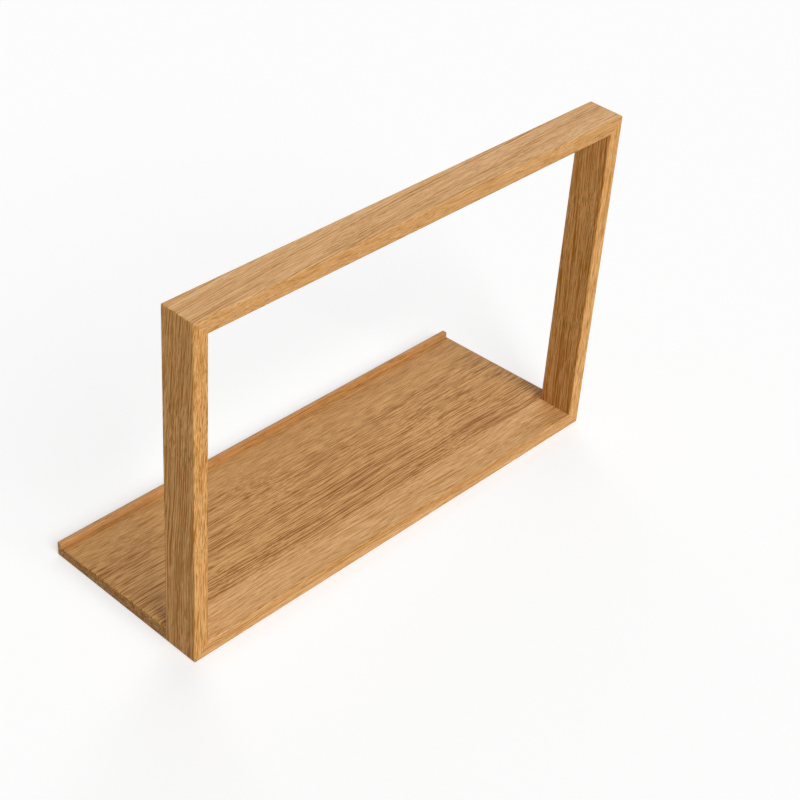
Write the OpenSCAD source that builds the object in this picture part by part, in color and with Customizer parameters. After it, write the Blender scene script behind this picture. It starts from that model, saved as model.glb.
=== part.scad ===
// Storage stand in solid oak: a closed hoop of four mitred bars stands on edge,
// and a one-sided tray with a low lip is dowelled to the foot of the hoop.
// Millimetres. +Z is up, -Y is the front and -X is the side of the tray.
// The origin is the bottom centre of the whole stand.

/* [Hoop] */
// Length of the hoop from its front face to its rear face
hoop_len = 530; // [400:5:700]
// Height of the hoop from its underside to its top face
hoop_h = 360; // [330:5:450]
// Width of the four bars, across the stand
bar_w = 39; // [34:1:60]
// Thickness of the four bars
bar_t = 15.5; // [14:0.5:22]

/* [Tray] */
// Width of the tray from the side of the hoop to the outer face of the lip
tray_w = 155; // [110:1:200]
// Thickness of the lip strip
lip_t = 5.5; // [4:0.5:8]
// Step from the top of the lip down to the floor beside it
lip_step = 6; // [3:0.5:7]

/* [Edges] */
// Radius of the sanded edges
edge_r = 1.2; // [0.6:0.1:1.8]

/* [Mitre dowels] */
// Diameter of the dowels that cross the mitres
mitre_dowel_d = 6; // [5:0.5:6.5]
// Distance from the side face of a bar to the axis of a mitre dowel
mitre_dowel_side = 11; // [8:0.5:12]
// Distance from the inner corner to the axis of a mitre dowel, along the mitre
mitre_dowel_inner = 8; // [7:0.5:9]
// Wood left between the end of a mitre dowel's hole and the outer face
mitre_dowel_cover = 2; // [1.5:0.25:3]

/* [Tray dowels] */
// Diameter of the dowels that join the tray to the bottom bar
tray_dowel_d = 8; // [6:0.5:9]
// Length of the tray dowels, half of it in each piece
tray_dowel_len = 40; // [30:1:50]
// Distance from the end of the stand to the axis of the nearest tray dowel
tray_dowel_end = 45; // [35:1:70]

/* [Dowel stock] */
// Number of glue grooves along each dowel
groove_count = 10; // [6:1:12]
// Radius of the glue grooves
groove_r = 0.4; // [0.25:0.05:0.5]
// Chamfer on both ends of each dowel
dowel_chamfer = 0.8; // [0.4:0.1:1.2]
// Glue film between a dowel and the wall of its hole
glue_film = 0.05; // [0.02:0.01:0.1]
// Empty depth of a hole past the end of its dowel
hole_spare = 0.75; // [0.5:0.25:1.5]

/* [Hidden] */
$fn = 48;

// Across the stand: the hoop fills the +X side and the tray the -X side
stand_w = bar_w + tray_w;
hoop_x = stand_w / 2 - bar_w / 2;
joint_x = stand_w / 2 - bar_w;
lip_x = -stand_w / 2 + lip_t;
front_y = -hoop_len / 2;

// The floor falls from the top of the bottom bar to the foot of the lip
floor_low = bar_t - lip_step;
floor_run = joint_x - lip_x;
floor_slope = atan(lip_step / floor_run);

// A mitre dowel stands square to the mitre, whose length is the bar's diagonal
mitre_len = bar_t * sqrt(2);
mitre_hole_d = mitre_dowel_d + 2 * glue_film;
mitre_hole_depth = mitre_len - mitre_dowel_inner - mitre_hole_d / 2
    - mitre_dowel_cover * sqrt(2);
mitre_dowel_len = 2 * (mitre_hole_depth - hole_spare);
mitre_dowel_x = bar_w / 2 - mitre_dowel_side;
mitre_dowel_in = mitre_dowel_inner / sqrt(2);

tray_dowels = 6;
tray_dowel_pitch = (hoop_len - 2 * tray_dowel_end) / (tray_dowels - 1);
tray_hole_d = tray_dowel_d + 2 * glue_film;
tray_hole_len = tray_dowel_len + 2 * hole_spare;

// Corner choices: 0 is the front or the top, 1 is the rear or the bottom
FRONT = 0;
REAR = 1;
TOP = 0;
BOTTOM = 1;
// Side choices across a bar
LEFT = -1;
RIGHT = 1;
// Which corners of a section are sanded: low left, low right, high right, high left
ALL_ROUND = [true, true, true, true];
LEFT_ONLY = [true, false, false, true];
RIGHT_ONLY = [false, true, true, false];
LOW_ONLY = [true, true, false, false];
HIGH_ONLY = [false, false, true, true];
ALL_BUT_LOW_RIGHT = [true, false, true, true];

// ---- Sections and directions ----

// A rectangle from the origin, with the chosen corners sanded round
module sanded_section(w, h, sanded) {
    spots = [[0, 0, 0], [w, 0, 90], [w, h, 180], [0, h, 270]];
    difference() {
        square([w, h]);
        for (i = [0:3])
            if (sanded[i])
                translate([spots[i][0], spots[i][1]])
                    rotate(spots[i][2])
                        difference() {
                            square(edge_r);
                            translate([edge_r, edge_r]) circle(edge_r);
                        }
    }
}

// Sweeps a drawing of Y and Z along +X
module sweep_x(length) {
    rotate([90, 0, 90]) linear_extrude(length) children();
}

// Sweeps a drawing of X and Z along the whole stand
module sweep_y() {
    rotate([90, 0, 0]) linear_extrude(hoop_len, center = true) children();
}

// Carries what is drawn at the top front corner to another corner of the hoop
module at_corner(rear, low) {
    translate([0, 0, low * hoop_h])
        mirror([0, 0, low])
            mirror([0, rear, 0])
                children();
}

// ---- Dowels and their holes ----

// A grooved dowel along Z, centred on the origin
module dowel(d, length) {
    color("#d9b98a")
        difference() {
            rotate_extrude()
                polygon([
                    [0, -length / 2],
                    [d / 2 - dowel_chamfer, -length / 2],
                    [d / 2, -length / 2 + dowel_chamfer],
                    [d / 2, length / 2 - dowel_chamfer],
                    [d / 2 - dowel_chamfer, length / 2],
                    [0, length / 2]]);
            for (i = [0:groove_count - 1])
                rotate(i * 360 / groove_count)
                    translate([d / 2, 0, 0])
                        cylinder(r = groove_r, h = length + 1, center = true);
        }
}

// Puts a part that lies along Z square across one mitre, on one side of the bar
module across_mitre(rear, low, side) {
    at_corner(rear, low)
        translate([
            hoop_x + side * mitre_dowel_x,
            front_y + bar_t - mitre_dowel_in,
            hoop_h - bar_t + mitre_dowel_in])
            rotate([-45, 0, 0])
                children();
}

module mitre_dowel(rear, low, side) {
    across_mitre(rear, low, side) dowel(mitre_dowel_d, mitre_dowel_len);
}

module mitre_holes(rear, low) {
    for (side = [LEFT, RIGHT])
        across_mitre(rear, low, side)
            cylinder(d = mitre_hole_d, h = 2 * mitre_hole_depth, center = true);
}

// Puts a part that lies along Z across the joint of tray and hoop
module across_joint(number) {
    translate([joint_x, front_y + tray_dowel_end + (number - 1) * tray_dowel_pitch, bar_t / 2])
        rotate([0, 90, 0])
            children();
}

module tray_dowel(number) {
    across_joint(number) dowel(tray_dowel_d, tray_dowel_len);
}

module tray_holes() {
    for (number = [1:tray_dowels])
        across_joint(number)
            cylinder(d = tray_hole_d, h = tray_hole_len, center = true);
}

// ---- Hoop ----

// The outline of one bar in Y and Z, between its two mitres
module post_outline(rear) {
    mirror([rear, 0])
        polygon([
            [front_y, 0],
            [front_y, hoop_h],
            [front_y + bar_t, hoop_h - bar_t],
            [front_y + bar_t, bar_t]]);
}

module bar_outline(low) {
    translate([0, low * hoop_h])
        mirror([0, low])
            polygon([
                [front_y, hoop_h],
                [-front_y, hoop_h],
                [-front_y - bar_t, hoop_h - bar_t],
                [front_y + bar_t, hoop_h - bar_t]]);
}

// The hoop's outside, with its four corners sanded round
module hoop_blank() {
    intersection() {
        children();
        translate([front_y, 0]) sanded_section(hoop_len, hoop_h, ALL_ROUND);
    }
}

// A post stays square where the tray is glued to its foot
module post(rear) {
    color(rear == FRONT ? "#b0824c" : "#bd8f58")
        difference() {
            intersection() {
                translate([joint_x, 0, 0])
                    sweep_x(bar_w) hoop_blank() post_outline(rear);
                mirror([0, rear, 0])
                    translate([joint_x, front_y, 0]) {
                        linear_extrude(bar_t) sanded_section(bar_w, bar_t, RIGHT_ONLY);
                        translate([0, 0, bar_t])
                            linear_extrude(hoop_h - bar_t)
                                sanded_section(bar_w, bar_t, ALL_ROUND);
                    }
            }
            mitre_holes(rear, TOP);
            mitre_holes(rear, BOTTOM);
        }
}

module front_post() {
    post(FRONT);
}

module rear_post() {
    post(REAR);
}

module top_bar() {
    color("#cda271")
        difference() {
            intersection() {
                translate([joint_x, 0, 0])
                    sweep_x(bar_w) hoop_blank() bar_outline(TOP);
                translate([joint_x, 0, hoop_h - bar_t])
                    sweep_y() sanded_section(bar_w, bar_t, ALL_ROUND);
            }
            mitre_holes(FRONT, TOP);
            mitre_holes(REAR, TOP);
        }
}

module bottom_bar() {
    color("#c5955f")
        difference() {
            intersection() {
                translate([joint_x, 0, 0])
                    sweep_x(bar_w) hoop_blank() bar_outline(BOTTOM);
                translate([joint_x, 0, 0])
                    sweep_y() sanded_section(bar_w, bar_t, RIGHT_ONLY);
            }
            mitre_holes(FRONT, BOTTOM);
            mitre_holes(REAR, BOTTOM);
            tray_holes();
        }
}

// ---- Tray ----

// The board is planed to a wedge, so its floor falls towards the lip
module tray_board() {
    color("#b5834f")
        difference() {
            intersection() {
                sweep_y()
                    polygon([
                        [lip_x, 0],
                        [joint_x, 0],
                        [joint_x, bar_t],
                        [lip_x, floor_low]]);
                translate([lip_x, front_y, 0])
                    sweep_x(floor_run) sanded_section(hoop_len, bar_t, LOW_ONLY);
                translate([joint_x, front_y, bar_t])
                    rotate([0, -floor_slope, 0])
                        translate([-2 * floor_run, 0, -2 * bar_t])
                            sweep_x(2 * floor_run + bar_t)
                                sanded_section(hoop_len, 2 * bar_t, HIGH_ONLY);
            }
            tray_holes();
        }
}

// The lip stands as high as the bottom bar, square where it is glued to the board
module tray_lip() {
    color("#c29062")
        intersection() {
            translate([-stand_w / 2, 0, 0])
                sweep_y() sanded_section(lip_t, bar_t, ALL_BUT_LOW_RIGHT);
            translate([-stand_w / 2, front_y, 0])
                sweep_x(lip_t) sanded_section(hoop_len, bar_t, ALL_ROUND);
            translate([-stand_w / 2, front_y, 0])
                linear_extrude(bar_t)
                    sanded_section(lip_t, hoop_len, LEFT_ONLY);
        }
}

front_post();
rear_post();
top_bar();
bottom_bar();
tray_board();
tray_lip();
mitre_dowel(FRONT, TOP, LEFT);  // top_front_dowel_left
mitre_dowel(FRONT, TOP, RIGHT);  // top_front_dowel_right
mitre_dowel(REAR, TOP, LEFT);  // top_rear_dowel_left
mitre_dowel(REAR, TOP, RIGHT);  // top_rear_dowel_right
mitre_dowel(FRONT, BOTTOM, LEFT);  // bottom_front_dowel_left
mitre_dowel(FRONT, BOTTOM, RIGHT);  // bottom_front_dowel_right
mitre_dowel(REAR, BOTTOM, LEFT);  // bottom_rear_dowel_left
mitre_dowel(REAR, BOTTOM, RIGHT);  // bottom_rear_dowel_right
tray_dowel(1);  // tray_dowel_1
tray_dowel(2);  // tray_dowel_2
tray_dowel(3);  // tray_dowel_3
tray_dowel(4);  // tray_dowel_4
tray_dowel(5);  // tray_dowel_5
tray_dowel(6);  // tray_dowel_6
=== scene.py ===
"""Looks of an oak storage stand: a mitred hoop on edge, with a one-sided tray at its foot.

The hoop and the tray are modelled again with their sanded edges and joint lines, in the
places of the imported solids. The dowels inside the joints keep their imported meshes. Lengths
are in metres, and in millimetres where they describe the wood's own patterns.
"""
import logging
import math
from dataclasses import dataclass, field
from enum import Enum

import bmesh
import bpy
from mathutils import Euler, Matrix, Vector


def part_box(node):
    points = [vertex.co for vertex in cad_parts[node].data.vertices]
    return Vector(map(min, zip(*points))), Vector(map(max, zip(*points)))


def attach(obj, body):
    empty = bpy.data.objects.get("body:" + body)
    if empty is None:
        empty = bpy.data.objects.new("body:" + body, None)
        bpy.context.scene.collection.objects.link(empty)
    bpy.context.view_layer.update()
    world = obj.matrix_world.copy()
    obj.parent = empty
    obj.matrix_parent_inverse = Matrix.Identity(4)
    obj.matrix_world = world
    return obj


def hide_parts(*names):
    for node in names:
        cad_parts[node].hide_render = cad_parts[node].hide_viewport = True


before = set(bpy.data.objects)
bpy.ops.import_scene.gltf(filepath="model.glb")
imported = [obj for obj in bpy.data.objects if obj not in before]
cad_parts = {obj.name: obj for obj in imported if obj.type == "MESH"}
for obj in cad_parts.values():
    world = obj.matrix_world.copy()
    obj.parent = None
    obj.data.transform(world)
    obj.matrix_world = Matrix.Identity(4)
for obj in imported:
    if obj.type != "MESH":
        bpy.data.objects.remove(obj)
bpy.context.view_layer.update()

LOG = logging.getLogger("storage_stand")
MM = 0.001
ROOT = "root"

Triple = tuple[float, float, float]
Colour = tuple[float, float, float]
Limits = tuple[float, float]

WHITE: Colour = (1.0, 1.0, 1.0)


class Grain(Enum):
    """The way that a board's grain runs. The value turns that axis to Z, in degrees about X."""

    UPRIGHT = 0.0
    LENGTHWISE = 90.0


class End(Enum):
    """An end of the hoop. The value is its direction along Y."""

    FRONT = -1
    REAR = 1


class Level(Enum):
    """A level of the hoop. The value is its direction along Z."""

    BOTTOM = -1
    TOP = 1


# ---------------------------------------------------------------- shader expressions


class Socket:
    """An output of a shader node that takes part in Python expressions."""

    def __init__(self, graph: "Graph", output: bpy.types.NodeSocket) -> None:
        """Wraps an output of one of the graph's nodes."""
        self.graph = graph
        self.output = output

    @property
    def is_vector(self) -> bool:
        """True for a vector or a colour."""
        return self.output.type in ("VECTOR", "RGBA")

    def __add__(self, other: "Value") -> "Socket":
        """Adds two values."""
        return self.graph.maths("ADD", self, other)

    __radd__ = __add__

    def __sub__(self, other: "Value") -> "Socket":
        """Takes a value away."""
        return self.graph.maths("SUBTRACT", self, other)

    def __rsub__(self, other: "Value") -> "Socket":
        """Takes this value away from another."""
        return self.graph.maths("SUBTRACT", other, self)

    def __mul__(self, other: "Value") -> "Socket":
        """Multiplies two values."""
        return self.graph.maths("MULTIPLY", self, other)

    __rmul__ = __mul__

    def __truediv__(self, other: "Value") -> "Socket":
        """Divides by a value."""
        return self.graph.maths("DIVIDE", self, other)

    def __abs__(self) -> "Socket":
        """Drops the sign."""
        return self.graph.maths("ABSOLUTE", self)

    def high(self, other: "Value") -> "Socket":
        """The higher of two values."""
        return self.graph.maths("MAXIMUM", self, other)

    def whole(self) -> "Socket":
        """The whole number below a value."""
        return self.graph.maths("FLOOR", self)

    def rest(self) -> "Socket":
        """What a value has over the whole number below it."""
        return self.graph.maths("FRACT", self)

    def part(self, axis: int) -> "Socket":
        """One of a vector's three parts, by its number."""
        return self.graph.node("ShaderNodeSeparateXYZ", {}, {"Vector": self}, axis)

    def ease(self, start: float, end: float) -> "Socket":
        """Rises smoothly from 0 to 1.

        Args:
            start: the value that gives 0.
            end: the value that gives 1, which may be below start.

        Returns:
            The eased value, held between 0 and 1.
        """
        eased = self.graph.node(
            "ShaderNodeMapRange",
            {"interpolation_type": "SMOOTHSTEP"},
            {"Value": self, "From Min": min(start, end), "From Max": max(start, end)},
        )
        return eased if start < end else 1.0 - eased


Value = Socket | float | Triple


@dataclass(frozen=True)
class Span:
    """A number that changes with a share.

    Attributes:
        none: the number where the share is 0.
        full: the number where the share is 1.
    """

    none: float
    full: float

    def at(self, share: Socket) -> Socket:
        """The number at a share."""
        return share * (self.full - self.none) + self.none


@dataclass(frozen=True)
class Pattern:
    """A smooth noise.

    Attributes:
        pitch: its size along each axis, in millimetres.
        detail: the number of finer layers.
        number: tells it from the other patterns of the same wood.
    """

    pitch: Triple
    detail: float
    number: float = 0.0


class Graph:
    """The node tree of one material or world."""

    NOISE_MIDDLE = 0.5
    NOISE_ROUGHNESS = 0.55
    SEED_SHIFT: Triple = (1.0, 0.7, -1.3)

    def __init__(self, owner: bpy.types.Material | bpy.types.World) -> None:
        """Empties the owner's node tree.

        Args:
            owner: the material or world that the nodes are for.
        """
        owner.use_nodes = True
        self.tree = owner.node_tree
        self.tree.nodes.clear()

    def node(
        self,
        kind: str,
        settings: dict[str, object] | None = None,
        inputs: dict[str | int, Value] | None = None,
        output: int | str = 0,
    ) -> Socket | None:
        """Adds a node.

        Args:
            kind: the node's type.
            settings: its properties, set first.
            inputs: the values or links of its sockets, by name or number.
            output: the name or number of the output to give back, among those in use.

        Returns:
            That output, or nothing for a node without outputs.
        """
        made = self.tree.nodes.new(kind)
        for name, value in (settings or {}).items():
            setattr(made, name, value)
        for key, value in (inputs or {}).items():
            self._feed(self._socket(made.inputs, key), value)
        return Socket(self, self._socket(made.outputs, output)) if made.outputs else None

    @staticmethod
    def _socket(sockets: bpy.types.bpy_prop_collection, key: str | int) -> bpy.types.NodeSocket:
        """Finds a socket.

        Args:
            sockets: a node's inputs or outputs.
            key: its number, or its name among those in use.

        Returns:
            The socket.
        """
        if isinstance(key, int):
            return sockets[key]
        return next(s for s in sockets if s.enabled and s.name == key)

    def _feed(self, socket: bpy.types.NodeSocket, value: Value) -> None:
        """Links a socket, or sets its value.

        Args:
            socket: an input.
            value: what it gets. A number fills all three parts of a vector.
        """
        if isinstance(value, Socket):
            self.tree.links.new(value.output, socket)
        elif socket.type == "RGBA":
            socket.default_value = (*value, 1.0)
        elif socket.type == "VECTOR" and isinstance(value, (int, float)):
            socket.default_value = (value, value, value)
        else:
            socket.default_value = value

    def maths(self, operation: str, *values: Value) -> Socket:
        """Works out numbers with Math and vectors with Vector Math.

        Args:
            operation: the node's operation.
            values: one or two values, of which a vector may be a tuple.

        Returns:
            The result.
        """
        vectors = any(isinstance(v, tuple) or isinstance(v, Socket) and v.is_vector for v in values)
        kind = "ShaderNodeVectorMath" if vectors else "ShaderNodeMath"
        return self.node(kind, {"operation": operation}, dict(enumerate(values)))

    def vector(self, x: Value, y: Value, z: Value) -> Socket:
        """Joins three numbers to a vector."""
        return self.node("ShaderNodeCombineXYZ", {}, {"X": x, "Y": y, "Z": z})

    def length(self, vector: Socket) -> Socket:
        """The length of a vector."""
        return self.node("ShaderNodeVectorMath", {"operation": "LENGTH"}, {0: vector}, "Value")

    def dot(self, first: Socket, second: Socket) -> Socket:
        """The dot product of two vectors."""
        settings = {"operation": "DOT_PRODUCT"}
        return self.node("ShaderNodeVectorMath", settings, {0: first, 1: second}, "Value")

    def coordinates(self, kind: str) -> Socket:
        """The surface's texture coordinates of one kind, such as Object."""
        return self.node("ShaderNodeTexCoord", {}, {}, kind)

    def noise(self, where: Socket, pattern: Pattern, seed: float = 0.0) -> Socket:
        """Smooth noise around 0, from about -0.5 to 0.5.

        Args:
            where: the place, in millimetres.
            pattern: the size of the noise.
            seed: tells one board's wood from another's.

        Returns:
            The noise.
        """
        shift = tuple(step * (seed + pattern.number) for step in self.SEED_SHIFT)
        inputs = {
            "Vector": where * per(pattern.pitch) + shift,
            "Scale": 1.0,
            "Detail": pattern.detail,
            "Roughness": self.NOISE_ROUGHNESS,
        }
        return self.node("ShaderNodeTexNoise", {}, inputs, "Fac") - self.NOISE_MIDDLE

    def points(self, where: Socket, output: str) -> Socket:
        """The Distance to the nearest of the points strewn through space, or its Position."""
        return self.node("ShaderNodeTexVoronoi", {}, {"Vector": where, "Scale": 1.0}, output)

    def mix(self, share: Value, first: Value, second: Value, kind: str = "MIX") -> Socket:
        """Mixes two colours.

        Args:
            share: the share of the second colour.
            first: the first colour.
            second: the second colour.
            kind: the blend type.

        Returns:
            The mixed colour.
        """
        settings = {"data_type": "RGBA", "blend_type": kind, "clamp_factor": True}
        inputs = {"Factor": share, "A": first, "B": second}
        return self.node("ShaderNodeMix", settings, inputs, "Result")

    def looked_at(self) -> Socket:
        """Tells rays that end in the picture from those that only carry light.

        Returns:
            1 for a ray from the camera, straight or by way of gloss or glass.
        """
        camera, gloss, glass = (
            self.node("ShaderNodeLightPath", {}, {}, name)
            for name in ("Is Camera Ray", "Is Glossy Ray", "Is Transmission Ray")
        )
        return camera.high(gloss).high(glass)


def per(pitch: Triple) -> Triple:
    """The scale of a pattern along each axis, from its pitch."""
    return tuple(1.0 / size for size in pitch)


# ---------------------------------------------------------------- oak


@dataclass(frozen=True)
class OakTones:
    """The colours of one board of oiled oak, in linear light; the tray's and the lip's are darkened
    partly as painted shade.

    Attributes:
        pale: late wood.
        deep: early wood and dark streaks.
        pore: open vessels.
        ray: rays that reach the surface.
    """

    pale: Colour
    deep: Colour
    pore: Colour = (0.2, 0.078, 0.014)
    ray: Colour = (0.36, 0.15, 0.03)


@dataclass(frozen=True)
class Cut:
    """How the surface of a board lies in its log.

    Attributes:
        log: the place in the log, in millimetres, with the heart as the Z axis.
        polar: the same place by radius, arc and height.
        flat: 1 where the surface is flat-sawn, and 0 where it is quarter-sawn.
        end: 1 where the surface cuts straight across the grain.
    """

    log: Socket
    polar: Socket
    flat: Socket
    end: Socket


@dataclass(frozen=True)
class Growth:
    """What grew in the log at a place on the surface.

    Attributes:
        ring: a random number for each ring.
        early: 1 in early wood.
        pores: 1 in a vessel.
        rays: 1 in a ray.
        fibre: the fibres' fine noise around 0.
    """

    ring: Socket
    early: Socket
    pores: Socket
    rays: Socket
    fibre: Socket


@dataclass(frozen=True)
class Sum:
    """A number that adds up from what grew in the log.

    Attributes:
        base: the number on plain late wood.
        early: what early wood adds.
        pores: what a vessel adds.
        rays: what a ray adds.
        fibre: the weight of the fibres' noise.
    """

    base: float = 0.0
    early: float = 0.0
    pores: float = 0.0
    rays: float = 0.0
    fibre: float = 0.0

    def of(self, growth: Growth) -> Socket:
        """The number at a place, from what grew there."""
        total = growth.early * self.early + growth.pores * self.pores
        return total + growth.rays * self.rays + growth.fibre * self.fibre + self.base


class Oak:
    """What every oak board has in common.

    Patterns in the log have the grain as their third axis. Those in its polar frame have the
    radius, the arc and the grain. Sizes are in millimetres, and limits are those of an ease.
    """

    # The grain's slow wander across the log.
    WANDER_X = Pattern((80.0, 80.0, 130.0), detail=1.0)
    WANDER_Y = Pattern((80.0, 80.0, 130.0), detail=1.0, number=3.0)

    # Rings: how far their lines stray, how their widths differ, and the shares of a ring
    # over which early wood ends and the next ring's starts.
    RAGGED = Pattern((3.5, 3.5, 95.0), detail=2.0, number=1.0)
    RAGGED_REACH = 1.4
    YEARS = Pattern((9.0, 9.0, 9.0), detail=1.0)
    YEARS_REACH = 5.0
    EARLY_ENDS: Limits = (0.5, 0.04)
    EARLY_STARTS: Limits = (0.93, 1.0)

    # Vessels, as long cells that are wider in early wood, and rays, as cells across the rings.
    VESSEL_PITCH: Triple = (0.85, 0.85, 21.0)
    VESSEL_WIDTH = Span(0.12, 0.32)
    VESSEL_EDGE: Limits = (0.0, 0.12)
    RAY_PITCH: Triple = (24.0, 2.2, 10.0)
    RAY_EDGE: Limits = (0.16, 0.06)
    FIBRE = Pattern((0.5, 0.5, 24.0), detail=2.0, number=9.0)

    # Dark lines: the rings' early wood, broken up by the streaks, livelier in some parts of
    # the board and in some rings.
    STREAK = Pattern((1.1, 3.0, 130.0), detail=2.0, number=5.0)
    STREAK_BREAKS: Limits = (-0.25, 0.1)
    DASH = Pattern((5.0, 0.55, 22.0), detail=1.0, number=6.0)
    BROAD = Pattern((9.0, 9.0, 400.0), detail=1.0, number=7.0)
    LIVELY_PARTS: Limits = (-0.18, 0.2)
    LIVELY = Span(0.45, 0.95)
    RING_STRENGTH = Span(0.35, 1.0)

    # How deep the tone is, from quarter-sawn to flat-sawn faces, and what each figure adds.
    FLAT_SAWN: Limits = (0.55, 1.0)
    DEPTH = Span(0.26, 0.35)
    LINE_DEPTH = Span(1.0, 0.05)
    STREAK_DEPTH = Span(2.3, 0.2)
    DASH_DEPTH = Span(0.3, 2.1)
    BROAD_DEPTH = Span(1.0, 0.4)
    FIBRE_DEPTH = 2.8
    RAY_SHOW = 0.3
    PORE_SHOW = 0.75

    # The figure is calmer straight above or below the heart, where the rings lie level.
    CALM_PART: Limits = (0.05, 0.6)
    CALM = Span(0.4, 1.0)

    # End grain, from where a rounded edge turns across the grain.
    END_FACE: Limits = (0.6, 0.97)
    PATCHES = Pattern((16.0, 16.0, 9.0), detail=2.0, number=14.0)
    PATCH_EDGE: Limits = (-0.1, 0.1)
    GRIT = Pattern((3.2, 3.2, 9.0), detail=2.0, number=12.0)
    GRIT_EDGE: Limits = (-0.05, 0.14)
    GRIT_SHOW = 0.75

    # The surface: its roughness, and its relief with the depth of a full step.
    ROUGHNESS = Sum(base=0.47, early=0.05, pores=0.2, rays=-0.06, fibre=0.06)
    RELIEF = Sum(early=-0.12, pores=-0.9, fibre=0.25)
    RELIEF_DEPTH = 0.08 * MM
    RELIEF_STRENGTH = 0.6


@dataclass(frozen=True)
class OakFinish:
    """Oiled oak. The log's rings, vessels and rays run through the whole board.

    Attributes:
        name: the material's name.
        grain: the way that the grain runs.
        heart: the log's heart across the grain from the board's middle, in millimetres.
        tones: the board's colours.
        seed: tells its wood from the other boards'.
        ring: the mean width of a ring, in millimetres.
        lean: how far the board was sawn askew in the log, in degrees about X and Y.
        sweep: how much the log bows along the grain, in one over millimetres.
        drift: how far the grain wanders, in millimetres.
        gloss: the level of the specular reflection.
        figure: how strongly the grain shows.
        plain: how much less of it shows where the board is flat-sawn.
        end_ruddy: what end grain is multiplied by in its warmer patches.
        end_olive: the same in its cooler patches.
        end_dark: the same in its dark grit.
    """

    name: str
    grain: Grain
    heart: tuple[float, float]
    tones: OakTones
    seed: float
    ring: float = 2.7
    lean: tuple[float, float] = (0.4, -0.5)
    sweep: float = 0.0
    drift: float = 8.0
    gloss: float = 0.12
    figure: float = 1.0
    plain: float = 0.1
    end_ruddy: Colour = (0.97, 0.88, 0.79)
    end_olive: Colour = (0.96, 1.12, 1.13)
    end_dark: Colour = (0.5, 0.46, 0.42)

    def material(self, low: Vector, high: Vector) -> bpy.types.Material:
        """Makes the material of one board.

        Args:
            low: the board's lowest corner.
            high: the board's highest corner.

        Returns:
            The material.
        """
        made = bpy.data.materials.new(self.name)
        graph = Graph(made)
        cut = self._cut(graph, (low + high) / 2.0)
        growth = self._growth(graph, cut)
        relief = {
            "Strength": Oak.RELIEF_STRENGTH,
            "Distance": Oak.RELIEF_DEPTH,
            "Height": Oak.RELIEF.of(growth),
        }
        surface = {
            "Base Color": self._end_grain(graph, cut, self._colour(graph, cut, growth)),
            "Roughness": Oak.ROUGHNESS.of(growth),
            "Normal": graph.node("ShaderNodeBump", {}, relief),
            "Specular IOR Level": self.gloss,
        }
        shader = graph.node("ShaderNodeBsdfPrincipled", {}, surface)
        graph.node("ShaderNodeOutputMaterial", {}, {"Surface": shader})
        return made

    def _cut(self, graph: Graph, middle: Vector) -> Cut:
        """Turns the surface from the stand's frame to the log's.

        Args:
            graph: the material's graph.
            middle: the board's middle.

        Returns:
            The surface in the log.
        """
        lean_x, lean_y = self.lean
        turn = Euler((math.radians(self.grain.value + lean_x), math.radians(lean_y), 0.0))
        heart = Vector((*self.heart, 0.0))
        place = graph.node(
            "ShaderNodeMapping",
            {"vector_type": "POINT"},
            {
                "Vector": graph.coordinates("Object"),
                "Location": tuple(-heart - turn.to_matrix() @ (middle / MM)),
                "Rotation": tuple(turn),
                "Scale": 1.0 / MM,
            },
        )
        log = place + self._bend(graph, place)
        outwards = log * (1.0, 1.0, 0.0)
        radius = graph.length(outwards)
        angle = graph.maths("ARCTAN2", log.part(1), log.part(0))
        facing = graph.node(
            "ShaderNodeMapping",
            {"vector_type": "VECTOR"},
            {"Vector": graph.coordinates("Normal"), "Rotation": tuple(turn)},
        )
        return Cut(
            log=log,
            polar=graph.vector(radius, angle * heart.length, log.part(2)),
            flat=abs(graph.dot(facing, outwards) / radius),
            end=abs(facing.part(2)),
        )

    def _bend(self, graph: Graph, place: Socket) -> Socket:
        """Bends the log by its sweep and the grain's slow wander.

        Args:
            graph: the material's graph.
            place: the place in a straight log.

        Returns:
            How far that place moves.
        """
        along = place.part(2)
        wander = graph.vector(
            graph.noise(place, Oak.WANDER_X, self.seed),
            graph.noise(place, Oak.WANDER_Y, self.seed),
            0.0,
        )
        return graph.vector(along * along * self.sweep, 0.0, 0.0) + wander * self.drift

    def _growth(self, graph: Graph, cut: Cut) -> Growth:
        """Grows the rings, the vessels along the grain and the rays from the heart outwards.

        Args:
            graph: the material's graph.
            cut: the surface in the log.

        Returns:
            What grew at the surface.
        """
        radius = cut.polar.part(0)
        ragged = graph.noise(cut.log, Oak.RAGGED, self.seed) * Oak.RAGGED_REACH
        years = graph.noise(graph.vector(radius, 0.0, 0.0), Oak.YEARS, self.seed) * Oak.YEARS_REACH
        count = (radius + ragged + years) / self.ring
        ring = graph.node(
            "ShaderNodeTexWhiteNoise", {"noise_dimensions": "1D"}, {"W": count.whole()}, "Value"
        )
        grown = count.rest()
        early = grown.ease(*Oak.EARLY_ENDS).high(grown.ease(*Oak.EARLY_STARTS))
        cells = cut.log * per(Oak.VESSEL_PITCH) + (self.seed, 0.0, self.seed)
        vessel = Oak.VESSEL_WIDTH.at(early) - graph.points(cells, "Distance")
        sheets = cut.polar * per(Oak.RAY_PITCH) + self.seed
        aside = abs((graph.points(sheets, "Position") - sheets).part(1))
        return Growth(
            ring=ring,
            early=early,
            pores=vessel.ease(*Oak.VESSEL_EDGE),
            rays=aside.ease(*Oak.RAY_EDGE),
            fibre=graph.noise(cut.log, Oak.FIBRE, self.seed),
        )

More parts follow.
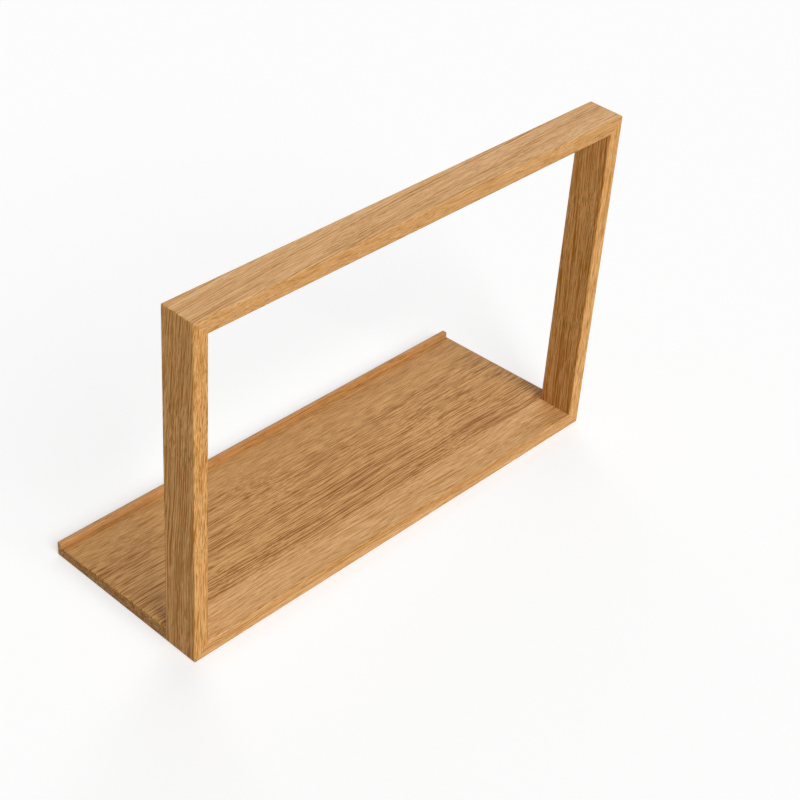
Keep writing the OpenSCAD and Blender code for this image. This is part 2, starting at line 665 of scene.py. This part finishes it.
    def _colour(self, graph: Graph, cut: Cut, growth: Growth) -> Socket:
        """Mixes the board's tones.

        Rings show as lines on a quarter-sawn face, and as a calm face with dashes where it
        is flat-sawn.

        Args:
            graph: the material's graph.
            cut: the surface in the log.
            growth: what grew there.

        Returns:
            The colour of the wood, lengthwise.
        """
        streak = graph.noise(cut.polar, Oak.STREAK, self.seed)
        dash = graph.noise(cut.polar, Oak.DASH, self.seed)
        broad = graph.noise(cut.log, Oak.BROAD, self.seed)
        flat = cut.flat.ease(*Oak.FLAT_SAWN)
        line = growth.early * Oak.RING_STRENGTH.at(growth.ring) * streak.ease(*Oak.STREAK_BREAKS)
        line = line * Oak.LIVELY.at(broad.ease(*Oak.LIVELY_PARTS))
        aside = abs(cut.log.part(0)) / cut.polar.part(0)
        figure = Oak.CALM.at(aside.ease(*Oak.CALM_PART)) * Span(1.0, 1.0 - self.plain).at(flat)
        fine = line * Oak.LINE_DEPTH.at(flat) + streak * Oak.STREAK_DEPTH.at(flat)
        fine = fine + dash * Oak.DASH_DEPTH.at(flat) + growth.fibre * Oak.FIBRE_DEPTH
        depth = Oak.DEPTH.at(flat) + fine * figure * self.figure + broad * Oak.BROAD_DEPTH.at(flat)
        colour = graph.mix(depth, self.tones.pale, self.tones.deep)
        colour = graph.mix(growth.rays * Oak.RAY_SHOW, colour, self.tones.ray)
        return graph.mix(growth.pores * Oak.PORE_SHOW, colour, self.tones.pore)

    def _end_grain(self, graph: Graph, cut: Cut, colour: Socket) -> Socket:
        """Stains the wood where the surface cuts across the grain, because oil soaks in there.

        Args:
            graph: the material's graph.
            cut: the surface in the log.
            colour: the colour of the wood, lengthwise.

        Returns:
            The colour all over the board.
        """
        patches = graph.noise(cut.log, Oak.PATCHES, self.seed).ease(*Oak.PATCH_EDGE)
        grit = graph.noise(cut.log, Oak.GRIT, self.seed).ease(*Oak.GRIT_EDGE)
        stain = graph.mix(patches, self.end_ruddy, self.end_olive)
        stain = graph.mix(grit * Oak.GRIT_SHOW, stain, self.end_dark)
        return graph.mix(cut.end.ease(*Oak.END_FACE), colour, stain, "MULTIPLY")


BAR_TONES = OakTones(pale=(0.79, 0.466, 0.209), deep=(0.43, 0.175, 0.018))
POST_TONES = OakTones(pale=(0.848, 0.487, 0.197), deep=(0.43, 0.162, 0.008))
# The tray board's tones are darker and warmer than the hoop's: partly its own wood, partly painted
# shade, as if records stood on it.
TRAY_TONES_WITH_PAINTED_SHADE = OakTones(pale=(0.7, 0.381, 0.133), deep=(0.27, 0.088, 0.006))
# The lip's tones are darker than the hoop's: partly its own wood, partly painted shade, as if
# records stood over it.
LIP_TONES_WITH_PAINTED_SHADE = OakTones(pale=(0.66, 0.35, 0.14), deep=(0.36, 0.14, 0.022))

OAK_FINISHES: dict[str, OakFinish] = {
    "front_post": OakFinish(
        name="oak_front_post",
        grain=Grain.UPRIGHT,
        heart=(-120.0, 38.0),
        tones=POST_TONES,
        seed=2.0,
        lean=(1.0, -3.5),
        sweep=-1e-4,
        figure=1.9,
        plain=0.22,
    ),
    "rear_post": OakFinish(
        name="oak_rear_post",
        grain=Grain.UPRIGHT,
        heart=(-105.0, 52.0),
        tones=POST_TONES,
        seed=31.0,
        lean=(0.6, 2.0),
        figure=1.7,
    ),
    "top_bar": OakFinish(
        name="oak_top_bar",
        grain=Grain.LENGTHWISE,
        heart=(-115.0, 42.0),
        tones=BAR_TONES,
        seed=7.0,
        lean=(0.4, 3.1),
        sweep=-6e-5,
        figure=0.8,
    ),
    "bottom_bar": OakFinish(
        name="oak_bottom_bar",
        grain=Grain.LENGTHWISE,
        heart=(60.0, 90.0),
        tones=BAR_TONES,
        seed=13.0,
    ),
    "tray_board": OakFinish(
        name="oak_tray_board",
        grain=Grain.LENGTHWISE,
        heart=(-58.0, 70.0),
        tones=TRAY_TONES_WITH_PAINTED_SHADE,
        seed=17.0,
        figure=1.85,
    ),
    "tray_lip": OakFinish(
        name="oak_tray_lip",
        grain=Grain.LENGTHWISE,
        heart=(15.0, 105.0),
        tones=LIP_TONES_WITH_PAINTED_SHADE,
        seed=23.0,
        figure=1.5,
    ),
}


# ---------------------------------------------------------------- beech


@dataclass(frozen=True)
class BeechFinish:
    """Bare beech dowel stock, cloudy and with fine flecks.

    Attributes:
        name: the material's name.
        pale: its colour.
        deep: the colour of its darker clouds and of its flecks.
        cloud: the pattern of the clouds.
        fleck: the pattern of the flecks.
        fleck_edge: the limits of that noise between bare wood and a fleck.
        fleck_show: how strongly a fleck shows.
        roughness: its roughness from the palest to the darkest cloud.
    """

    name: str = "beech_dowel"
    pale: Colour = (0.66, 0.47, 0.28)
    deep: Colour = (0.5, 0.33, 0.18)
    cloud: Pattern = Pattern((3.0, 3.0, 3.0), detail=3.0)
    fleck: Pattern = Pattern((0.5, 0.5, 0.5), detail=1.0, number=4.0)
    fleck_edge: Limits = (0.12, 0.2)
    fleck_show: float = 0.5
    roughness: Span = Span(0.55, 0.65)

    def material(self) -> bpy.types.Material:
        """Makes the material, which all the dowels share.

        Returns:
            The material.
        """
        made = bpy.data.materials.new(self.name)
        graph = Graph(made)
        place = graph.coordinates("Object") * (1.0 / MM)
        cloud = graph.noise(place, self.cloud) + Graph.NOISE_MIDDLE
        fleck = graph.noise(place, self.fleck).ease(*self.fleck_edge)
        colour = graph.mix(cloud, self.pale, self.deep)
        colour = graph.mix(fleck * self.fleck_show, colour, self.deep)
        surface = {"Base Color": colour, "Roughness": self.roughness.at(cloud)}
        shader = graph.node("ShaderNodeBsdfPrincipled", {}, surface)
        graph.node("ShaderNodeOutputMaterial", {}, {"Surface": shader})
        return made


# ---------------------------------------------------------------- joinery


class Workshop:
    """The tools that the boards are made with."""

    ARC_STEPS = 6
    HAIRLINE = 0.1 * MM
    SAWDUST = 0.02 * MM
    TOUCH = 0.001 * MM
    SHARP = math.radians(30.0)

    @staticmethod
    def plank(low: Vector, high: Vector) -> bmesh.types.BMesh:
        """Starts a board from its box.

        Args:
            low: the lowest corner.
            high: the highest corner.

        Returns:
            The board.
        """
        board = bmesh.new()
        bmesh.ops.create_cube(board, size=1.0)
        bmesh.ops.scale(board, vec=high - low, verts=board.verts)
        bmesh.ops.translate(board, vec=(low + high) / 2.0, verts=board.verts)
        return board

    @classmethod
    def saw(
        cls, board: bmesh.types.BMesh, place: Vector, outwards: Vector, drop: bool = False
    ) -> None:
        """Cuts a board along a plane.

        Args:
            board: the board.
            place: a place on the plane.
            outwards: the plane's normal.
            drop: True to drop what lies beyond the plane, and leave the cut open.
        """
        bmesh.ops.bisect_plane(
            board,
            geom=board.verts[:] + board.edges[:] + board.faces[:],
            plane_co=place,
            plane_no=outwards,
            dist=cls.TOUCH,
            clear_outer=drop,
        )

    @staticmethod
    def _bevel(
        board: bmesh.types.BMesh, edges: list[bmesh.types.BMEdge], width: float, steps: int
    ) -> list[bmesh.types.BMFace]:
        """Bevels edges.

        Args:
            board: the board.
            edges: its edges to bevel.
            width: how far the bevel reaches from the edge.
            steps: the number of faces across it.

        Returns:
            The new faces.
        """
        return bmesh.ops.bevel(
            board,
            geom=edges,
            offset=width,
            offset_type="OFFSET",
            affect="EDGES",
            segments=steps,
            profile=0.5,
            material=-1,
        )["faces"]

    @classmethod
    def sand(cls, board: bmesh.types.BMesh, edges: list[bmesh.types.BMEdge], radius: float) -> None:
        """Rounds a board's edges to a radius, and marks the rounds to be shaded smooth."""
        for face in cls._bevel(board, edges, radius, cls.ARC_STEPS):
            face.smooth = True

    @classmethod
    def break_edges(cls, board: bmesh.types.BMesh) -> None:
        """Takes a hairline off every edge that is still sharp, as along a glued joint."""
        sharp = [e for e in board.edges if e.is_manifold and e.calc_face_angle() > cls.SHARP]
        cls._bevel(board, sharp, cls.HAIRLINE, 1)

    @classmethod
    def deliver(
        cls, board: bmesh.types.BMesh, node: str, slot: str, material: bpy.types.Material
    ) -> bpy.types.Object:
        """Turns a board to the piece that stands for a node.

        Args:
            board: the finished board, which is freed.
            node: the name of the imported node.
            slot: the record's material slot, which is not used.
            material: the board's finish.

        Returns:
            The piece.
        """
        bmesh.ops.remove_doubles(board, verts=board.verts, dist=cls.TOUCH)
        bmesh.ops.recalc_face_normals(board, faces=board.faces)
        mesh = bpy.data.meshes.new(f"{node}_wood")
        board.to_mesh(mesh)
        board.free()
        mesh.materials.append(material)
        piece = bpy.data.objects.new(f"{node}_wood", mesh)
        bpy.context.scene.collection.objects.link(piece)
        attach(piece, ROOT)
        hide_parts(node)
        return piece


@dataclass
class Hoop:
    """The hoop: one sanded ring, sawn at its four mitres into two posts and two bars.

    Attributes:
        arris: the radius of its sanded edges.
        low: its lowest corner.
        high: its highest corner.
        thickness: the thickness of its posts and bars.
    """

    arris: float = 1.2 * MM
    low: Vector = field(init=False)
    high: Vector = field(init=False)
    thickness: float = field(init=False)

    def __post_init__(self) -> None:
        """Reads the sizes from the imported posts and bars."""
        post_low, post_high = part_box("front_post")
        self.thickness = post_high.y - post_low.y
        self.low = Vector((post_low.x, post_low.y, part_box("bottom_bar")[0].z))
        self.high = Vector((post_high.x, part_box("rear_post")[1].y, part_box("top_bar")[1].z))

    def build(self, finishes: dict[str, OakFinish]) -> list[bpy.types.Object]:
        """Makes the two posts and the two bars.

        Args:
            finishes: the finish of each piece, by its node's name.

        Returns:
            The pieces.
        """
        cuts = {
            "front_post": (End.FRONT, None),
            "rear_post": (End.REAR, None),
            "top_bar": (None, Level.TOP),
            "bottom_bar": (None, Level.BOTTOM),
        }
        made = []
        for node, (end, level) in cuts.items():
            slot = "oak_post" if end else "oak_bar"
            material = finishes[node].material(*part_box(node))
            made.append(Workshop.deliver(self._sawn(end, level), node, slot, material))
        return made

    def _blank(self) -> bmesh.types.BMesh:
        """Makes the ring before it is sawn.

        The ring starts as a flat frame on the tray's side, and grows to its width from there.

        Returns:
            The ring, with its open edges sanded.
        """
        ring = bmesh.new()
        size = self.high - self.low
        middle = (self.low + self.high) / 2.0
        x_to_y_to_z = Matrix(((0, 0, 1), (1, 0, 0), (0, 1, 0)))
        bmesh.ops.create_grid(ring, x_segments=1, y_segments=1, size=0.5)
        bmesh.ops.scale(ring, vec=(size.y, size.z, 1.0), verts=ring.verts)
        bmesh.ops.rotate(ring, matrix=x_to_y_to_z, verts=ring.verts)
        bmesh.ops.translate(ring, vec=(self.low.x, middle.y, middle.z), verts=ring.verts)
        sides = bmesh.ops.inset_region(
            ring,
            faces=ring.faces[:],
            use_boundary=True,
            use_even_offset=True,
            thickness=self.thickness,
        )["faces"]
        window = [f for f in ring.faces if f not in sides]
        bmesh.ops.delete(ring, geom=window, context="FACES_ONLY")
        grown = bmesh.ops.extrude_face_region(ring, geom=ring.faces[:])["geom"]
        moved = [v for v in grown if isinstance(v, bmesh.types.BMVert)]
        bmesh.ops.translate(ring, vec=(size.x, 0.0, 0.0), verts=moved)
        bmesh.ops.recalc_face_normals(ring, faces=ring.faces)
        # A cut level with the bottom bar's top ends the edges that are glued to the tray.
        tray_level = Vector((0.0, 0.0, self.low.z + self.thickness))
        Workshop.saw(ring, tray_level, Vector((0.0, 0.0, 1.0)))
        Workshop.sand(ring, [e for e in ring.edges if self._is_open(e)], self.arris)
        return ring

    def _is_open(self, edge: bmesh.types.BMEdge) -> bool:
        """Tells the edges that a hand can reach from those in corners and at the tray.

        Args:
            edge: an edge of the ring.

        Returns:
            True for an edge to be sanded.
        """
        if not edge.is_manifold or edge.calc_face_angle() < Workshop.SHARP:
            return False
        first, second = (v.co for v in edge.verts)
        middle = (first + second) / 2.0
        if abs(first.x - second.x) > self.arris:
            return middle.y < self.low.y + self.arris or middle.y > self.high.y - self.arris
        on_tray_side = middle.x < (self.low.x + self.high.x) / 2.0
        return not on_tray_side or middle.z > self.low.z + self.thickness + self.arris

    def _sawn(self, end: End | None, level: Level | None) -> bmesh.types.BMesh:
        """Saws one piece out of the ring.

        Args:
            end: the end of a post, or None.
            level: the level of a bar, or None.

        Returns:
            The piece, closed at its two mitres.
        """
        piece = self._blank()
        # A post is sawn at both levels, and a bar at both ends.
        for other in (-1, 1):
            y_side = end.value if end else other
            z_side = level.value if level else other
            corner = Vector((0.0, self.high.y, self.high.z))
            if y_side < 0:
                corner.y = self.low.y
            if z_side < 0:
                corner.z = self.low.z
            outwards = Vector((0.0, -y_side, z_side) if end else (0.0, y_side, -z_side))
            Workshop.saw(piece, corner, outwards, drop=True)
        bmesh.ops.remove_doubles(piece, verts=piece.verts, dist=Workshop.SAWDUST)
        bmesh.ops.holes_fill(piece, edges=[e for e in piece.edges if e.is_boundary], sides=0)
        bmesh.ops.recalc_face_normals(piece, faces=piece.faces)
        Workshop.break_edges(piece)
        return piece


@dataclass
class Tray:
    """The tray: a board planed to a wedge, with a lip glued along its low edge.

    Attributes:
        arris: the radius of its sanded edges.
        fall: how far its floor falls towards the lip.
    """

    arris: float = 1.2 * MM
    fall: float = 6.0 * MM

    def build(self, finishes: dict[str, OakFinish]) -> list[bpy.types.Object]:
        """Makes the board and the lip.

        Args:
            finishes: the finish of each piece, by its node's name.

        Returns:
            The pieces.
        """
        shapes = {"tray_board": (self._board(), "oak_tray"), "tray_lip": (self._lip(), "oak_lip")}
        return [
            Workshop.deliver(shape, node, slot, finishes[node].material(*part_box(node)))
            for node, (shape, slot) in shapes.items()
        ]

    def _board(self) -> bmesh.types.BMesh:
        """Makes the board, whose floor falls towards the lip.

        Returns:
            The board, with the edges of its two ends sanded.
        """
        low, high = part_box("tray_board")
        board = Workshop.plank(low, high)
        outer = [v for v in board.verts if v.co.x < low.x + self.arris and v.co.z > self.arris]
        bmesh.ops.translate(board, vec=(0.0, 0.0, -self.fall), verts=outer)
        ends = [
            e
            for e in board.edges
            if abs(e.verts[0].co.y - e.verts[1].co.y) < self.arris
            and abs(e.verts[0].co.x - e.verts[1].co.x) > self.arris
        ]
        Workshop.sand(board, ends, self.arris)
        Workshop.break_edges(board)
        return board

    def _lip(self) -> bmesh.types.BMesh:
        """Makes the lip strip, square where it is glued to the board.

        Returns:
            The strip, with its open edges sanded.
        """
        low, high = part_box("tray_lip")
        strip = Workshop.plank(low, high)
        open_edges = [e for e in strip.edges if not self._is_glued(e, low, high)]
        Workshop.sand(strip, open_edges, self.arris)
        Workshop.break_edges(strip)
        return strip

    @staticmethod
    def _is_glued(edge: bmesh.types.BMEdge, low: Vector, high: Vector) -> bool:
        """Tells the strip's edges along the glued face, apart from the top one.

        Args:
            edge: an edge of the strip.
            low: the strip's lowest corner.
            high: the strip's highest corner.

        Returns:
            True for an edge that stays square.
        """
        middle = (edge.verts[0].co + edge.verts[1].co) / 2.0
        halfway = (low + high) / 2.0
        return middle.x > (halfway.x + high.x) / 2.0 and middle.z < (halfway.z + high.z) / 2.0


@dataclass
class Dowels:
    """The dowels inside the mitres and the tray joint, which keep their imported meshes.

    Attributes:
        finish: the finish that they share.
    """

    finish: BeechFinish = BeechFinish()

    def dress(self) -> list[bpy.types.Object]:
        """Gives every dowel the beech finish.

        Returns:
            The dowels.
        """
        beech = self.finish.material()
        dowels = [piece for node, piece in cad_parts.items() if "dowel" in node]
        for dowel in dowels:
            for slot in dowel.material_slots:
                slot.material = beech
        return dowels


# ---------------------------------------------------------------- studio


@dataclass(frozen=True)
class Camera:
    """The camera, where the photograph was taken from.

    Attributes:
        azimuth: its direction from the stand, in degrees from the front to the right.
        elevation: its height above the stand, in degrees.
        roll: its turn about the line of sight, in degrees.
        lens: its focal length, in millimetres.
        sensor: the width of its picture, in millimetres.
        aim: the place in the middle of the picture.
        distance: how far off it is from there.
        reach: how far it sees.
    """

    azimuth: float = 41.135
    elevation: float = 36.503
    roll: float = 4.546
    lens: float = 82.123
    sensor: float = 36.0
    aim: Triple = (0.06735, 0.01415, 0.13453)
    distance: float = 1.7078
    reach: float = 100.0

    def place(self) -> None:
        """Sets up the camera."""
        camera = bpy.data.cameras.new("camera")
        camera.lens = self.lens
        camera.sensor_width = self.sensor
        camera.clip_end = self.reach
        holder = bpy.data.objects.new("camera", camera)
        turn = (
            Matrix.Rotation(math.radians(self.azimuth), 4, "Z")
            @ Matrix.Rotation(math.radians(90.0 - self.elevation), 4, "X")
            @ Matrix.Rotation(math.radians(self.roll), 4, "Z")
        )
        back = turn @ Vector((0.0, 0.0, self.distance))
        holder.matrix_world = Matrix.Translation(Vector(self.aim) + back) @ turn
        bpy.context.scene.collection.objects.link(holder)
        bpy.context.scene.camera = holder


@dataclass(frozen=True)
class Softbox:
    """A lamp as wide as a softbox, and so far off that it lights the floor evenly.

    Attributes:
        name: its name.
        towards: its direction from the stand.
        spread: its width as seen from the stand, in degrees.
        level: how bright a white surface is that faces it.
        distance: how far off it hangs, which doesn't change its light.
    """

    name: str
    towards: Triple
    spread: float
    level: float
    distance: float = 4.0

    def place(self) -> None:
        """Hangs the lamp."""
        lamp = bpy.data.lights.new(self.name, "SUN")
        lamp.angle = math.radians(self.spread)
        lamp.energy = self.level * math.pi
        holder = bpy.data.objects.new(self.name, lamp)
        direction = Vector(self.towards).normalized()
        holder.location = direction * self.distance
        holder.rotation_euler = (-direction).to_track_quat("-Z", "Y").to_euler()
        bpy.context.scene.collection.objects.link(holder)


@dataclass(frozen=True)
class Floor:
    """A pale floor that takes the stand's shadow, and fades to white far from it.

    Attributes:
        radius: its radius.
        sides: the number of its sides.
        drop: how far it lies below the stand.
        paper: its colour in the light that it throws back on the stand.
        fade: the distances from its middle between which it fades to white.
        haze: the share of white light in the floor near the stand, as it is seen.
        glow: the strength of that white light.
    """

    radius: float = 30.0
    sides: int = 96
    drop: float = 0.2 * MM
    paper: Colour = (0.65, 0.57, 0.42)
    fade: Limits = (0.9, 3.0)
    haze: float = 0.45
    glow: float = 1.16

    def lay(self) -> None:
        """Lays the floor."""
        sheet = bmesh.new()
        bmesh.ops.create_circle(sheet, cap_ends=True, radius=self.radius, segments=self.sides)
        bmesh.ops.translate(sheet, vec=(0.0, 0.0, -self.drop), verts=sheet.verts)
        mesh = bpy.data.meshes.new("floor")
        sheet.to_mesh(mesh)
        sheet.free()
        mesh.materials.append(self._material())
        floor = bpy.data.objects.new("floor", mesh)
        bpy.context.scene.collection.objects.link(floor)

    def _material(self) -> bpy.types.Material:
        """Makes the floor's paper.

        Returns:
            The material.
        """
        made = bpy.data.materials.new("floor_paper")
        graph = Graph(made)
        far = graph.length(graph.coordinates("Object")).ease(*self.fade)
        seen = graph.looked_at()
        paper = graph.mix(seen, self.paper, WHITE)
        matt = graph.node("ShaderNodeBsdfDiffuse", {}, {"Color": paper})
        white = graph.node("ShaderNodeEmission", {}, {"Strength": self.glow})
        share = far.high(self.haze) * seen
        blend = graph.node("ShaderNodeMixShader", {}, {0: share, 1: matt, 2: white})
        graph.node("ShaderNodeOutputMaterial", {}, {"Surface": blend})
        return made


@dataclass(frozen=True)
class Surround:
    """Soft light from all round, which shows as white to the camera and in reflections.

    Attributes:
        light: the strength of the light on the stand and the floor.
    """

    light: float = 0.16

    def hang(self) -> None:
        """Sets up the world."""
        world = bpy.data.worlds.new("studio")
        bpy.context.scene.world = world
        graph = Graph(world)
        light = graph.node("ShaderNodeBackground", {}, {"Strength": self.light})
        white = graph.node("ShaderNodeBackground", {}, {"Color": WHITE, "Strength": 1.0})
        inputs = {0: graph.looked_at(), 1: light, 2: white}
        sky = graph.node("ShaderNodeMixShader", {}, inputs)
        graph.node("ShaderNodeOutputWorld", {}, {"Surface": sky})


@dataclass(frozen=True)
class Studio:
    """The photographer's studio.

    Attributes:
        camera: the camera.
        floor: the floor under the stand.
        surround: the light from all round.
        softboxes: the key light on the right, and a weaker one from behind on the left.
    """

    camera: Camera = Camera()
    floor: Floor = Floor()
    surround: Surround = Surround()
    softboxes: tuple[Softbox, ...] = (
        Softbox("key_softbox", (0.77, -0.15, 0.63), spread=34.0, level=0.82),
        Softbox("rear_softbox", (-0.53, 0.61, 0.59), spread=50.0, level=0.32),
    )

    def build(self) -> None:
        """Sets up the whole studio."""
        self.camera.place()
        self.floor.lay()
        self.surround.hang()
        for softbox in self.softboxes:
            softbox.place()
        bpy.context.scene.view_settings.view_transform = "Standard"


# ---------------------------------------------------------------- the stand


def main() -> None:
    """Builds the studio and the stand, and reports each piece."""
    logging.basicConfig(level=logging.INFO, format="%(name)s: %(message)s")
    Studio().build()
    pieces = [*Hoop().build(OAK_FINISHES), *Tray().build(OAK_FINISHES), *Dowels().dress()]
    for piece in pieces:
        LOG.info("%s: %d faces", piece.name, len(piece.data.polygons))


if __name__ == "__main__":
    main()
